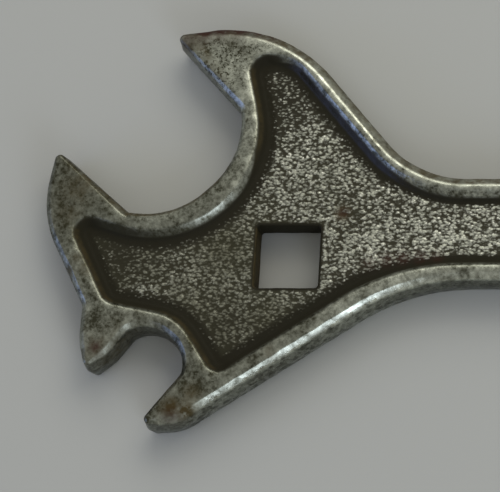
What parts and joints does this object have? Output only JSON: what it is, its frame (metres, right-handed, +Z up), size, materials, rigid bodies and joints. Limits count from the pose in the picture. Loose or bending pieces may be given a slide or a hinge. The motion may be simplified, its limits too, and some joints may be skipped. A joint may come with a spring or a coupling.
{
  "type": "open-end wrench",
  "caption": "Flat forged steel wrench with a large and a small open jaw at one end, a square hole through its recessed web, and a rimmed handle.",
  "frame": {"origin": "middle of the underside of the wrench's box, as it lies flat", "axes": "+X along the handle, away from the jaws; +Y across the handle, towards the large jaw's upper prong; +Z up through the thickness"},
  "size_m": [0.178, 0.0624, 0.007],
  "materials": {
    "forged_steel": "worn bare forging, smooth on the rims and pebbled in the recess"
  },
  "bodies": {
    "root": {"wrench_forging": "forged_steel"}
  },
  "joints": []
}
